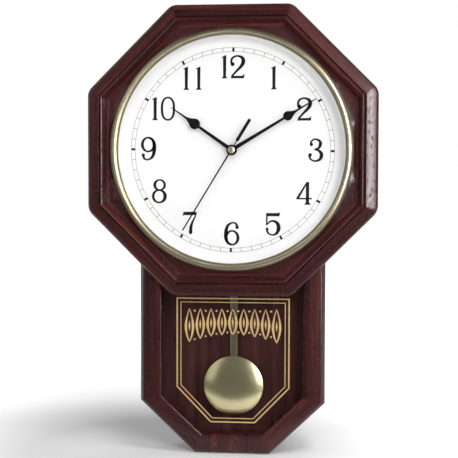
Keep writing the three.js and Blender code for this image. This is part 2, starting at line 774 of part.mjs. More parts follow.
function buildMovement() {
  const group = new THREE.Group();
  const arborHoles = () => [thirdAt, reductionAt, rotorAt].map((at) => circlePath(pivotHole, at));
  const pocket = {
    top: batteryRadius - batteryDrop + pocketSpace,
    foot: -batteryRadius - batteryDrop - pocketSpace,
  };
  addPiece(group, 'movement_housing', housingGeometry(arborHoles(), pocket), blackPlastic);
  addPiece(group, 'movement_cover', coverGeometry(arborHoles(), pocket), blackPlastic);
  const bushRear = housingFront + housingWall - 0.4;
  addPiece(group, 'centre_bush', tube(bushBore, bushRadius, bushFront, bushRear), brass);
  addPiece(group, 'stator', statorGeometry(), steel);
  addPiece(group, 'motor_coil', motorCoilGeometry(), copper);
  const chip = block(8, -27, 14, -22, -39.5, -41.5);
  addPiece(group, 'circuit_board', joined(block(3, -30, 23, -19, -38.8, -40), chip), circuitGreen);
  addPiece(group, 'battery', batteryGeometry(), batterySleeve);

  const near = batteryHalf + gap;
  const far = near + contactThickness;
  const low = -batteryDrop - contactHalf;
  const high = -batteryDrop + contactHalf;
  const plus = block(near, low, far, high, contactRear, contactFront);
  const minus = block(-far, low, -near, high, contactRear, contactFront);
  addPiece(group, 'battery_contact_plus', plus, steel);
  addPiece(group, 'battery_contact_minus', minus, steel);
  const facing = [0, -magnetDrop];
  const driveCoil = tube(driveCoilInner, driveCoilOuter, driveCoilFront, driveCoilRear, facing);
  addPiece(group, 'drive_coil', driveCoil, copper);
  return group;
}

// The motor's laminated yoke: a round opening for the rotor and two legs down to the coil.
function statorGeometry() {
  const [x, z] = rotorAt;
  const legFoot = -27.5;
  const yokeFoot = -16;
  const shape = outline([
    [-24, legFoot], [-20.5, legFoot], [-20.5, yokeFoot], [-5.5, yokeFoot], [-5.5, legFoot], [-2, legFoot],
    [-2, yokeFoot + 3.5], [x + 5, yokeFoot + 3.5], [x + 5, z + 5], [x - 5, z + 5], [-24, z + 3.5],
  ]);
  const front = layerFront(6);
  return plate(withHoles(shape, circlePath(rotorRadius + 0.5, rotorAt)), front + gearThickness, front);
}

// ---- Pendulum, from the dial centre -----------------------------------------------------------

function hangerGeometry() {
  const arm = new THREE.Shape();
  arm.absarc(0, -pivotDrop, armHead, -0.3, Math.PI + 0.3, false);
  arm.lineTo(-armHalf, -armFoot);
  arm.lineTo(armHalf, -armFoot);
  withHoles(arm, circlePath(pivotRadius + gap, [0, -pivotDrop]));
  const hookFoot = -hookDrop - hookHeight;
  const hook = block(-hookHalf, hookFoot, hookHalf, -hookDrop, hookRear, armRear - 0.5);
  const lip = block(-hookHalf, hookFoot, hookHalf, -hookDrop + 2.6, hookRear, hookRear - 1);
  return joined(plate(arm, armRear, armFront), hook, lip);
}

function buildPendulum() {
  const group = new THREE.Group();
  addPiece(group, 'pendulum_hanger', hangerGeometry(), whitePlastic);
  const magnetRear = armFront - gap;
  const driveMagnet = rod(magnetRadius, magnetRear - magnetLength, magnetRear, [0, -magnetDrop], 16);
  addPiece(group, 'drive_magnet', driveMagnet, magnet);

  const strip = rectanglePath(-rodHalf, -bobDrop - 18, rodHalf, -hookDrop + 5);
  const slotReach = hookHalf + gap;
  const slot = rectanglePath(-slotReach, -hookDrop - hookHeight - gap, slotReach, -hookDrop + gap);
  addPiece(group, 'pendulum_rod', plate(withHoles(strip, slot), rodRear, rodFront), brass);

  const rim = rodFront - 0.9;
  const crown = rim - bobDome;
  const front = [
    [0, crown], [10, crown + 0.4], [20, crown + 1.9], [27, crown + 4.1], [bobRadius - 0.6, crown + 6.4],
    [bobRadius, rim - 0.7], [bobRadius, rim], [bobRadius - 0.8, rim], [bobRadius - 1.4, rim - 1.1],
    [26.6, rim - 3.2], [19.8, rim - 5.4], [9.9, rim - 6.9], [0, crown + 0.7],
  ];
  const bobAt = [0, -bobDrop];
  addPiece(group, 'bob_front', turned(front, 32, bobAt), brass);
  const backFront = rim + 0.2;
  const backPlate = rod(bobRadius - 0.5, backFront, backFront + bobBackThickness, bobAt, 32);
  addPiece(group, 'bob_back', backPlate, brass);
  return group;
}

// ---- The whole clock --------------------------------------------------------------------------

const dialCentre = new THREE.Group();
dialCentre.position.z = dialRise - headDrop;
dialCentre.add(buildMovement(), buildTrain(), buildPendulum());

const clock = new THREE.Group();
clock.add(buildHead(), buildTrunk(), buildBack(), buildDial(), dialCentre);

export default clock;
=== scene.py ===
# The looks of a schoolhouse wall clock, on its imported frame. Shapes are written in millimetres.

import math

import bmesh
import bpy
from mathutils import Matrix, Vector


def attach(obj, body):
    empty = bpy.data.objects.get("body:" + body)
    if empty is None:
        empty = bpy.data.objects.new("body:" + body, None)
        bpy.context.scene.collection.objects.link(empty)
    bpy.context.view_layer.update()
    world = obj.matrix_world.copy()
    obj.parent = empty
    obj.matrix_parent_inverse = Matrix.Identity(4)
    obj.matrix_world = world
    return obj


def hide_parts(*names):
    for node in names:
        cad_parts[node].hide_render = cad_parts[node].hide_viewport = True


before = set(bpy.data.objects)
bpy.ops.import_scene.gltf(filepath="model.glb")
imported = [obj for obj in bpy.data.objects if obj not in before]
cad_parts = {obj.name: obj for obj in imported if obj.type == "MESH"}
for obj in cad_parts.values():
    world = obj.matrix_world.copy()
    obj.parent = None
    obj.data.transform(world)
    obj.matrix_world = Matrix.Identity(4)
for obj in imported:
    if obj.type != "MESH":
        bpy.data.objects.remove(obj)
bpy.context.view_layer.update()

MM = 0.001

# ---- Measures of the frame, in millimetres ---------------------------------------------------

HEAD_Z = -75.0  # centre of the octagon
DIAL_Z = -74.0  # centre of the dial
HEAD_HALF = 145.0
HEAD_CORNER = 14.0
HEAD_OPENING = 117.6
RAIL_BACK = -50.3
TRUNK_HALF = 94.0
TRUNK_SHOULDER = 254.0
TRUNK_FOOT = 307.0
TRUNK_FOOT_HALF = 38.0
TRUNK_BACK = -38.0
DIAL_FRONT = -51.1
TRUNK_GLASS_FRONT = -37.4
BOB_Z = -316.0
OCTANT = math.pi / 4
JOINT_GAP = 0.005  # hairline at each side of a mitre


# ---- Mesh helpers ----------------------------------------------------------------------------

SHARP_EDGE = math.radians(35)  # flatter edges than this are shaded smooth


def add_object(name, verts, faces, material, body, matrix=None):
    """A mesh piece from points in millimetres, placed by a matrix in metres, riding on a body."""
    mesh = bpy.data.meshes.new(name)
    mesh.from_pydata([Vector(v) * MM for v in verts], [], faces)
    shaped = bmesh.new()
    shaped.from_mesh(mesh)
    bmesh.ops.remove_doubles(shaped, verts=shaped.verts, dist=1e-6)
    bmesh.ops.recalc_face_normals(shaped, faces=shaped.faces)
    shaped.to_mesh(mesh)
    shaped.free()
    mesh.shade_smooth()
    mesh.set_sharp_from_angle(angle=SHARP_EDGE)
    mesh.materials.append(material)
    piece = bpy.data.objects.new(name, mesh)
    bpy.context.scene.collection.objects.link(piece)
    if matrix is not None:
        piece.matrix_world = matrix
        bpy.context.view_layer.update()
    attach(piece, body)
    return piece


def grid_faces(rows, columns, close_rows=False, close_columns=False):
    faces = []
    for row in range(rows if close_rows else rows - 1):
        for column in range(columns if close_columns else columns - 1):
            next_row = (row + 1) % rows
            next_column = (column + 1) % columns
            faces.append((
                row * columns + column,
                row * columns + next_column,
                next_row * columns + next_column,
                next_row * columns + column,
            ))
    return faces


def turned(name, profile, material, body, centre, segments=96):
    """A turned piece about a Y axis. The profile lists radius and y."""
    verts = []
    for radius, y in profile:
        for step in range(segments):
            angle = 2 * math.pi * step / segments
            verts.append((centre[0] + radius * math.cos(angle), y, centre[1] + radius * math.sin(angle)))
    faces = grid_faces(len(profile), segments, close_rows=True, close_columns=True)
    return add_object(name, verts, faces, material, body)


def swept(name, rows, material, body, matrix=None):
    """A bar from closed section rows, each a list of points from one end to the other, with flat ends."""
    columns = len(rows[0])
    verts = [point for row in rows for point in row]
    faces = grid_faces(len(rows), columns, close_rows=True)
    faces.append([row * columns for row in range(len(rows))])
    faces.append([row * columns + columns - 1 for row in range(len(rows))])
    return add_object(name, verts, faces, material, body, matrix)


def flat_print(name, polygons, y, material, body, thickness=0.05):
    """Thin printed shapes that stand a hair in front of a surface. Polygons list x and z."""
    mesh = bmesh.new()
    for polygon in polygons:
        corners = [mesh.verts.new((x * MM, y * MM, z * MM)) for x, z in polygon]
        mesh.faces.new(corners)
    bmesh.ops.recalc_face_normals(mesh, faces=mesh.faces)
    for face in mesh.faces:
        if face.normal.y > 0:
            face.normal_flip()
    raised = bmesh.ops.extrude_face_region(mesh, geom=mesh.faces[:])
    moved = [item for item in raised["geom"] if isinstance(item, bmesh.types.BMVert)]
    bmesh.ops.translate(mesh, verts=moved, vec=(0, -thickness * MM, 0))
    bmesh.ops.triangulate(mesh, faces=mesh.faces[:])
    data = bpy.data.meshes.new(name)
    mesh.to_mesh(data)
    mesh.free()
    data.materials.append(material)
    piece = bpy.data.objects.new(name, data)
    bpy.context.scene.collection.objects.link(piece)
    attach(piece, body)
    return piece


def polar(radius, angle):
    return radius * math.cos(angle), radius * math.sin(angle)


# ---- Materials -------------------------------------------------------------------------------


class Paint:
    """A node material that is built up one node at a time."""

    def __init__(self, name):
        self.material = bpy.data.materials.new(name)
        self.material.use_nodes = True
        self.nodes = self.material.node_tree.nodes
        self.links = self.material.node_tree.links
        self.shader = self.nodes["Principled BSDF"]

    def add(self, kind, **inputs):
        node = self.nodes.new(kind)
        for key, value in inputs.items():
            if hasattr(node, key):
                setattr(node, key, value)
            else:
                node.inputs[key.replace("_", " ")].default_value = value
        return node

    def link(self, output, target):
        self.links.new(output, target)

    def set(self, **values):
        for key, value in values.items():
            self.shader.inputs[key.replace("_", " ")].default_value = value

    def place(self, stretch=(1, 1, 1), turn=(0, 0, 0), shift=(0, 0, 0)):
        """Object coordinates, stretched and turned."""
        where = self.add("ShaderNodeTexCoord")
        mapping = self.add("ShaderNodeMapping")
        mapping.inputs["Scale"].default_value = stretch
        mapping.inputs["Rotation"].default_value = turn
        mapping.inputs["Location"].default_value = shift
        self.link(where.outputs["Object"], mapping.inputs["Vector"])
        return mapping.outputs["Vector"]

    def noise(self, vector, scale, detail=4.0, roughness=0.55):
        node = self.add("ShaderNodeTexNoise", Scale=scale, Detail=detail, Roughness=roughness)
        self.link(vector, node.inputs["Vector"])
        return node.outputs["Fac"]

    def ramp(self, value, *stops):
        node = self.add("ShaderNodeValToRGB")
        elements = node.color_ramp.elements
        while len(elements) < len(stops):
            elements.new(0.5)
        for element, (position, color) in zip(elements, stops):
            element.position = position
            element.color = (*color, 1.0) if isinstance(color, tuple) else (color, color, color, 1.0)
        self.link(value, node.inputs["Fac"])
        return node.outputs["Color"]

    def spread(self, value, low, high):
        node = self.add("ShaderNodeMapRange")
        node.inputs["To Min"].default_value = low
        node.inputs["To Max"].default_value = high
        self.link(value, node.inputs["Value"])
        return node.outputs["Result"]

    def mix(self, factor, a, b, mode="MIX"):
        node = self.nodes.new("ShaderNodeMix")
        node.data_type = "RGBA"
        node.blend_type = mode
        sockets = [s for s in node.inputs if s.enabled]
        for socket, value in zip(sockets, (factor, a, b)):
            if isinstance(value, (int, float)):
                socket.default_value = value
            elif isinstance(value, tuple):
                socket.default_value = (*value, 1.0)
            else:
                self.link(value, socket)
        return next(s for s in node.outputs if s.enabled)

    def math(self, operation, a, b=0.0):
        node = self.add("ShaderNodeMath")
        node.operation = operation
        for socket, value in zip(node.inputs, (a, b)):
            if isinstance(value, (int, float)):
                socket.default_value = value
            else:
                self.link(value, socket)
        return node.outputs["Value"]

    def bump(self, height, strength, distance):
        node = self.add("ShaderNodeBump", Strength=strength, Distance=distance)
        self.link(height, node.inputs["Height"])
        self.link(node.outputs["Normal"], self.shader.inputs["Normal"])

    def color(self, value):
        self.link(value, self.shader.inputs["Base Color"])

    def roughness(self, value):
        self.link(value, self.shader.inputs["Roughness"])


WOOD_SATIN = 0.22  # roughness that the satin lacquer adds


def wood(name, along="x", seed=0.0, tone=1.0, turn=0.0, pores=1.0):
    """Dark red mahogany with bands, fibres and short dark pores that run along one local axis."""
    paint = Paint(name)
    long = {"x": (0.030, 1, 1), "z": (1, 1, 0.030)}[along]
    short = {"x": (0.28, 1, 1), "z": (1, 1, 0.28)}[along]
    shift = (seed * 0.37, seed * 0.53, seed * 0.71)
    tilt = (0, turn, 0)
    bands = paint.noise(paint.place(long, tilt, shift), 75, 4, 0.55)
    fibres = paint.noise(paint.place(long, tilt, shift), 480, 3, 0.6)
    pits = paint.noise(paint.place(short, tilt, shift), 740, 1, 0.4)
    base = paint.ramp(
        bands,
        (0.30, (0.032 * tone, 0.0070 * tone, 0.0074 * tone)),
        (0.50, (0.068 * tone, 0.0145 * tone, 0.0145 * tone)),
        (0.70, (0.115 * tone, 0.0270 * tone, 0.0245 * tone)),
    )
    streak = paint.ramp(fibres, (0.32, 0.34), (0.64, 1.0))
    fibred = paint.mix(0.9, base, streak, "MULTIPLY")
    pit = paint.ramp(pits, (0.34, 0.0), (0.40, 1.0))
    paint.color(paint.mix(0.85 * pores, fibred, pit, "MULTIPLY"))
    worn = paint.math("ADD", paint.math("MULTIPLY", pit, -0.28), paint.spread(fibres, 0.36, 0.24))
    paint.roughness(paint.math("ADD", worn, WOOD_SATIN))
    height = paint.math("ADD", paint.math("MULTIPLY", fibres, 0.30), pit)
    paint.bump(height, 0.28, 0.00025)
    paint.set(Specular_IOR_Level=0.38)
    return paint.material


def brass(name, tone=1.0, rough=0.24, spin=None, brushed=1.0, yellow=1.0):
    """Lacquered pale brass. With a centre, fine turning lines run round it; otherwise they run upright."""
    paint = Paint(name)
    if spin is None:
        lines = paint.noise(paint.place((1, 1, 0.02)), 1500, 2, 0.5)
    else:
        place = paint.place((1, 0, 1), shift=(-spin[0] * MM, 0, -spin[1] * MM))
        distance = paint.add("ShaderNodeVectorMath", operation="LENGTH")
        paint.link(place, distance.inputs[0])
        radius = paint.add("ShaderNodeCombineXYZ")
        paint.link(distance.outputs["Value"], radius.inputs["X"])
        lines = paint.noise(radius.outputs["Vector"], 1800, 2, 0.5)
    cloud = paint.noise(paint.place(), 45, 3, 0.5)
    tarnish = paint.ramp(
        cloud,
        (0.3, (0.60 * tone, 0.545 * tone, 0.375 * tone / yellow)),
        (0.7, (0.68 * tone, 0.625 * tone, 0.445 * tone / yellow)),
    )
    paint.color(tarnish)
    paint.set(Metallic=1.0)
    paint.roughness(paint.spread(lines, rough - 0.04, rough + 0.08))
    paint.bump(lines, 0.02 * brushed, 0.0001)
    return paint.material


def shade(color, factor):
    return tuple(channel * factor for channel in color)


def metal(name, color, rough=0.32, scale=900, stretch=(1, 1, 0.05)):
    paint = Paint(name)
    grain = paint.noise(paint.place(stretch), scale, 3, 0.5)
    paint.color(paint.ramp(grain, (0.3, shade(color, 0.82)), (0.7, color)))
    paint.set(Metallic=1.0)
    paint.roughness(paint.spread(grain, rough - 0.06, rough + 0.1))
    paint.bump(grain, 0.08, 0.0001)
    return paint.material


def plastic(name, color, rough=0.45, scale=1400, relief=0.12, shine=0.4):
    """Moulded plastic with a fine spark-eroded texture and slight unevenness of shade."""
    paint = Paint(name)
    grain = paint.noise(paint.place(), scale, 2, 0.5)
    cloud = paint.noise(paint.place(), 35, 2, 0.5)
    paint.color(paint.ramp(cloud, (0.3, shade(color, 0.88)), (0.7, shade(color, 1.06))))
    paint.roughness(paint.spread(grain, rough - 0.05, rough + 0.08))
    paint.bump(grain, relief, 0.0001)
    paint.set(Specular_IOR_Level=shine)
    return paint.material


def board(name, front, rear, split_y):
    """A fibreboard with a stained face in front of split_y, in metres, and a raw brown one behind it."""
    paint = Paint(name)
    streaks = paint.noise(paint.place((1, 1, 0.03)), 110, 4, 0.6)
    fine = paint.noise(paint.place((1, 1, 0.05)), 700, 3, 0.6)
    speckle = paint.noise(paint.place(), 900, 3, 0.7)
    stained = paint.ramp(streaks, (0.30, shade(front, 0.5)), (0.72, shade(front, 1.5)))
    stained = paint.mix(0.6, stained, paint.ramp(fine, (0.35, 0.45), (0.65, 1.0)), "MULTIPLY")
    raw = paint.ramp(speckle, (0.3, shade(rear, 0.7)), (0.7, shade(rear, 1.15)))
    where = paint.add("ShaderNodeTexCoord")
    parts = paint.add("ShaderNodeSeparateXYZ")
    paint.link(where.outputs["Object"], parts.inputs["Vector"])
    behind = paint.math("GREATER_THAN", parts.outputs["Y"], split_y)
    paint.color(paint.mix(behind, stained, raw))
    paint.roughness(paint.spread(fine, 0.5, 0.7))
    paint.bump(fine, 0.06, 0.0002)
    paint.set(Specular_IOR_Level=0.15)
    return paint.material


def enamel(name):
    """The dial's satin white enamel, with a barely visible orange-peel surface."""
    paint = Paint(name)
    peel = paint.noise(paint.place(), 380, 2, 0.5)
    cloud = paint.noise(paint.place(), 14, 2, 0.5)
    paint.color(paint.ramp(cloud, (0.3, (0.825, 0.82, 0.82)), (0.7, (0.845, 0.84, 0.84))))
    paint.roughness(paint.spread(peel, 0.36, 0.46))
    paint.set(Specular_IOR_Level=0.15)
    paint.bump(peel, 0.04, 0.0001)
    return paint.material


def gilding(name):
    """Pale gold leaf paint with fine wear."""
    paint = Paint(name)
    leaf = paint.noise(paint.place(), 500, 4, 0.6)
    paint.color(paint.ramp(leaf, (0.3, (0.52, 0.335, 0.135)), (0.7, (0.72, 0.49, 0.215))))
    paint.roughness(paint.spread(leaf, 0.4, 0.55))
    paint.bump(leaf, 0.1, 0.0001)
    return paint.material


def ink(name):
    paint = Paint(name)
    grain = paint.noise(paint.place(), 900, 2, 0.5)
    paint.color(paint.ramp(grain, (0.3, (0.006, 0.006, 0.007)), (0.7, (0.012, 0.012, 0.013))))
    paint.roughness(paint.spread(grain, 0.5, 0.62))
    paint.set(Specular_IOR_Level=0.08)
    return paint.material


GLASS_FACE_ON = 0.004  # far less than real glass reflects, so that no window light hides the numerals
GLASS_GRAZING = 0.7


def window_glass(name):
    """Thin clear glass: see-through, with a reflection that grows towards grazing angles."""
    paint = Paint(name)
    clear = paint.add("ShaderNodeBsdfTransparent")
    clear.inputs["Color"].default_value = (0.99, 0.99, 0.99, 1.0)
    shine = paint.add("ShaderNodeBsdfGlossy", Roughness=0.03)
    ripple = paint.noise(paint.place(), 12, 1, 0.4)
    wave = paint.add("ShaderNodeBump", Strength=0.02, Distance=0.001)
    paint.link(ripple, wave.inputs["Height"])
    paint.link(wave.outputs["Normal"], shine.inputs["Normal"])
    slope = paint.add("ShaderNodeLayerWeight")
    grazing = paint.math("POWER", slope.outputs["Facing"], 5.0)
    blend = paint.add("ShaderNodeMixShader")
    paint.link(paint.spread(grazing, GLASS_FACE_ON, GLASS_GRAZING), blend.inputs["Fac"])
    paint.link(clear.outputs["BSDF"], blend.inputs[1])
    paint.link(shine.outputs["BSDF"], blend.inputs[2])
    paint.link(blend.outputs["Shader"], paint.nodes["Material Output"].inputs["Surface"])
    paint.nodes.remove(paint.shader)
    return paint.material


BEZEL_BRASS = brass("bezel_brass", tone=1.04, rough=0.33, spin=(0, DIAL_Z), brushed=0.2)
BOB_BRASS = brass("bob_brass", tone=1.42, rough=0.22, spin=(0, BOB_Z), brushed=0.1, yellow=1.18)
PART_BRASS = brass("part_brass")
STEEL = metal("bright_zinc", (0.60, 0.60, 0.59))
LAMINATION = metal("lamination_steel", (0.36, 0.36, 0.36), 0.4, 2600, (1, 0.02, 1))
COPPER = metal("copper_winding", (0.62, 0.26, 0.11), 0.32, 3200, (1, 0.04, 0.04))
FLAT_COPPER = metal("copper_spool", (0.62, 0.26, 0.11), 0.32, 2600, (1, 0.05, 1))
MAGNET = metal("ferrite", (0.09, 0.09, 0.10), 0.5, 700, (1, 1, 1))
HAND_BLACK = plastic("hand_black", (0.006, 0.006, 0.007), 0.5, 1600, 0.05, 0.08)
BLACK_PLASTIC = plastic("black_moulding", (0.018, 0.018, 0.020), 0.48)
WHITE_PLASTIC = plastic("natural_acetal", (0.70, 0.70, 0.67), 0.35, 1200, 0.05)
RUBBER = plastic("rubber", (0.02, 0.02, 0.02), 0.85, 1000, 0.3)
ENAMEL = enamel("dial_enamel")
GOLD_PAINT = gilding("gold_paint")
INK = ink("dial_ink")
GLASS = window_glass("window_glass")


# ---- Head rails ------------------------------------------------------------------------------

# The moulding's section: distance in from the outer edge, height above the rail's back.
MOULDING = [
    (0.5, 0.0), (0.0, 0.5), (0.0, 8.6), (0.15, 9.6), (0.6, 10.5), (1.4, 11.4), (2.6, 12.15),
    (7.0, 14.0), (11.3, 15.8), (12.0, 16.0), (12.45, 15.8), (12.6, 15.3), (12.75, 14.6),
    (13.1, 14.3), (13.7, 14.3), (14.0, 14.8), (14.1, 17.2), (14.35, 18.4), (14.9, 19.15),
    (15.6, 19.45), (16.2, 19.2), (16.7, 18.5), (17.2, 17.6), (19.4, 13.3), (20.2, 12.2), (22.5, 11.45),
    (22.7, 11.4),
]
RAIL_NAMES = ["top", "upper_right", "right", "lower_right", "bottom", "lower_left", "left", "upper_left"]


def moulding_row(inset):
    """Points along one line of a rail, from mitre to mitre: a rounded half corner, a flat, a half corner."""
    half = HEAD_HALF - inset
    radius = max(HEAD_CORNER - inset, 0.4)
    reach = (half - radius) * math.tan(OCTANT / 2)
    row = []
    for step in range(9):
        angle = -OCTANT / 2 + OCTANT / 2 * step / 8
        row.append((-reach + radius * math.sin(angle), half - radius + radius * math.cos(angle)))
    for step in range(1, 12):
        row.append((-reach + 2 * reach * step / 12, half))
    for step in range(9):
        angle = OCTANT / 2 * step / 8
        row.append((reach + radius * math.sin(angle), half - radius + radius * math.cos(angle)))
    return row


def opening_row(like, side):
    """The points of the round opening that lie in the same directions as another row's points."""
    turn = side * OCTANT
    centre = Vector((-math.sin(turn), math.cos(turn))) * (DIAL_Z - HEAD_Z)
    row = []
    for x, z in like:
        direction = Vector((x, z)).normalized()
        along = direction.dot(centre)
        distance = along + math.sqrt(along * along - centre.length_squared + HEAD_OPENING**2)
        row.append(tuple(direction * distance))
    return row


def build_head_rail(side, name):
    flat_rows = [(moulding_row(inset), height) for inset, height in MOULDING]
    ring = opening_row(flat_rows[-1][0], side)
    flat_rows.append((ring, 15.0))
    flat_rows.append((ring, 0.0))
    rows = []
    for row, height in flat_rows:
        shrink = 1 - JOINT_GAP / abs(row[0][0])
        rows.append([(x * shrink, RAIL_BACK - height, z) for x, z in row])
    matrix = Matrix.Translation((0, 0, HEAD_Z * MM)) @ Matrix.Rotation(side * OCTANT, 4, "Y")
    material = wood(f"mahogany_{name}", "x", seed=side + 1.0)
    piece = swept(f"moulding_{name}", rows, material, "case", matrix)
    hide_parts(f"head_rail_{name}")


for number, rail_name in enumerate(RAIL_NAMES):
    build_head_rail(number, rail_name)


# ---- Trunk rails -----------------------------------------------------------------------------

# The trunk rail's section: distance in as a share of the width or in mm from an edge, and its height.
RAIL_EDGE = [(0.4, 0.0), (0.0, 0.4), (0.0, 7.4), (0.3, 8.2), (3.2, 11.4), (3.8, 11.8), (4.6, 12.0)]
RAIL_INNER = [(1.9, 12.0), (1.35, 11.92), (0.85, 11.65), (0.45, 11.2), (0.15, 10.6), (0.0, 9.9), (0.0, 0.0)]


def trunk_corners(side_inset, lower_inset):
    shoulder = Vector((TRUNK_HALF, -TRUNK_SHOULDER))
    slant = Vector((TRUNK_FOOT_HALF, -TRUNK_FOOT)) - shoulder
    inward = Vector((slant.y, -slant.x)).normalized()
    start = shoulder + inward * lower_inset
    side_x = TRUNK_HALF - side_inset
    foot_z = -TRUNK_FOOT + lower_inset
    return (
        Vector((side_x, start.y + slant.y / slant.x * (side_x - start.x))),
        Vector((start.x + slant.x / slant.y * (foot_z - start.y), foot_z)),
    )


def build_mitred_rail(name, outer_a, outer_b, inner_a, inner_b, material, node):
    """A straight rail between two mitres, from its outer edge's ends and its inner edge's ends."""
    along = (outer_b - outer_a).normalized()
    across = Vector((-along.y, along.x))
    if across.dot(inner_a - outer_a) < 0:
        across = -across
    width = across.dot(inner_a - outer_a)
    section = [(inset, height) for inset, height in RAIL_EDGE]
    section += [(width - inset, height) for inset, height in RAIL_INNER]
    rows = []
    for inset, height in section:
        share = inset / width
        start = outer_a.lerp(inner_a, share) + along * JOINT_GAP
        end = outer_b.lerp(inner_b, share) - along * JOINT_GAP
        points = [start.lerp(end, step / 6) for step in range(7)]
        offsets = [point - outer_a for point in points]
        rows.append([(offset.dot(along), TRUNK_BACK - height, offset.dot(across)) for offset in offsets])
    matrix = Matrix((
        (along.x, 0, across.x, outer_a.x * MM),
        (0, 1, 0, 0),
        (along.y, 0, across.y, (outer_a.y + HEAD_Z) * MM),
        (0, 0, 0, 1),
    ))
    piece = swept(name, rows, material, "case", matrix)
    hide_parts(node)


def flipped(point):
    return Vector((-point.x, point.y))


SIDE_RAIL_WIDTH = 22.0
LOWER_RAIL_WIDTH = 19.0
BOARD_EDGE = math.sqrt(2) * (HEAD_HALF - 5 + 0.3)  # where the backing board's slanted edge meets x = 0
outer_shoulder, outer_foot = trunk_corners(0, 0)
inner_shoulder, inner_foot = trunk_corners(SIDE_RAIL_WIDTH, LOWER_RAIL_WIDTH)
side_top = Vector((TRUNK_HALF, TRUNK_HALF - BOARD_EDGE))
inner_top = Vector((TRUNK_HALF - SIDE_RAIL_WIDTH, TRUNK_HALF - SIDE_RAIL_WIDTH - BOARD_EDGE))

# The left rail's colour is darker than the others', a painted shade for the side turned away from the light.
# tone 0.72 on the left rail is painted shade, not a darker stain
for hand, mirror, seed, tone in (("right", lambda p: p, 11.0, 1.0), ("left", flipped, 17.0, 0.72)):
    build_mitred_rail(
        f"trunk_front_{hand}", mirror(side_top), mirror(outer_shoulder), mirror(inner_top),
        mirror(inner_shoulder), wood(f"mahogany_trunk_{hand}", "x", seed, tone), f"trunk_rail_{hand}",
    )
    build_mitred_rail(
        f"trunk_front_lower_{hand}", mirror(outer_shoulder), mirror(outer_foot), mirror(inner_shoulder),
        mirror(inner_foot), wood(f"mahogany_trunk_lower_{hand}", "x", seed + 2), f"trunk_rail_lower_{hand}",
    )
build_mitred_rail(
    "trunk_front_foot", flipped(outer_foot), outer_foot, flipped(inner_foot), inner_foot,
    wood("mahogany_trunk_foot", "z", 23.0), "trunk_rail_foot",
)


# ---- Bezel and dial --------------------------------------------------------------------------

BEZEL = [
    (112.9, -65.5), (112.9, -65.75), (113.1, -65.95), (114.7, -66.1), (114.9, -66.3), (115.0, -66.6),
    (115.6, -68.3), (115.8, -68.8), (116.1, -69.2), (116.5, -69.42), (116.9, -69.38), (117.9, -68.95),
    (118.3, -68.7), (120.6, -66.4), (120.9, -66.0), (121.0, -65.6),
    (117.3, -65.6), (117.3, -60.3), (116.5, -60.3), (116.5, -65.5),
]
DIAL_PAN = [
    (3.9, -51.1), (100.0, -51.1), (105.0, -51.12), (107.5, -51.4), (109.6, -52.1), (111.4, -53.4),
    (112.9, -55.2), (114.0, -57.6), (114.7, -60.2), (115.1, -63.0), (116.0, -63.0), (115.7, -58.6),
    (114.4, -54.4), (112.4, -51.6), (110.0, -50.6), (107.0, -50.3), (3.9, -50.3),
]

bezel = turned("bezel", BEZEL, BEZEL_BRASS, "case", (0, DIAL_Z), 160)
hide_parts("bezel_ring")
dial = turned("dial", DIAL_PAN, ENAMEL, "case", (0, DIAL_Z), 128)
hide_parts("dial_pan")

PRINT_Y = DIAL_FRONT - 0.03
PRINT_TURN = math.radians(-0.6)  # the dial sits a little clockwise in its ring


def on_dial(x, z):
    cos, sin = math.cos(PRINT_TURN), math.sin(PRINT_TURN)
    return x * cos - z * sin, DIAL_Z + x * sin + z * cos


def ring_quads(inner, outer, steps=180):
    quads = []
    for step in range(steps):
        a = 2 * math.pi * step / steps
        b = 2 * math.pi * (step + 1) / steps
        quads.append([on_dial(*polar(inner, a)), on_dial(*polar(outer, a)), on_dial(*polar(outer, b)),
                      on_dial(*polar(inner, b))])
    return quads


def tick(inner, outer, half_width, angle):
    along = Vector(polar(1, angle))
    across = Vector((-along.y, along.x)) * half_width
    near = along * inner
    far = along * outer
    corners = [near - across, far - across, far + across, near + across]
    return [on_dial(*corner) for corner in corners]


TRACK_INNER = 98.4
TRACK_OUTER = 102.4
LINE_HALF = 0.14

track = ring_quads(TRACK_INNER - LINE_HALF, TRACK_INNER + LINE_HALF)
track += ring_quads(TRACK_OUTER - LINE_HALF, TRACK_OUTER + LINE_HALF)
minute_ticks = []
for minute in range(60):
    turn = math.pi / 2 - math.pi * minute / 30
    if minute % 5 == 0:
        minute_ticks.append(tick(TRACK_INNER + 0.1, TRACK_OUTER - 0.1, 1.1, turn))
    else:
        minute_ticks.append(tick(TRACK_INNER, TRACK_OUTER, 0.2, turn))
flat_print("minute_track", track, PRINT_Y, INK, "case")
flat_print("minute_ticks", minute_ticks, PRINT_Y - 0.06, INK, "case")


# ---- Numerals --------------------------------------------------------------------------------


def smooth_line(points, steps=8):
    """A Catmull-Rom curve through points of x, z and width."""
    ends = [points[0]] + points + [points[-1]]
    line = []
    for a, b, c, d in zip(ends, ends[1:], ends[2:], ends[3:]):
        for step in range(steps):
            t = step / steps
            line.append(tuple(
                0.5 * (
                    2 * q + (r - p) * t + (2 * p - 5 * q + 4 * r - s) * t * t
                    + (3 * q - p - 3 * r + s) * t**3
                )
                for p, q, r, s in zip(a, b, c, d)
            ))
    line.append(points[-1])
    return line


PEN = 1.2  # widens every stroke of the figures


def stroke(points, steps=8):
    """Quads along a pen line whose width varies."""
    line = smooth_line(points, steps)
    edges = []
    for index, (x, z, width) in enumerate(line):
        before = line[max(index - 1, 0)]
        after = line[min(index + 1, len(line) - 1)]
        along = Vector((after[0] - before[0], after[1] - before[1])).normalized()
        across = Vector((-along.y, along.x)) * width * PEN / 2
        edges.append(((x + across.x, z + across.y), (x - across.x, z - across.y)))
    return [[a[0], b[0], b[1], a[1]] for a, b in zip(edges, edges[1:])]


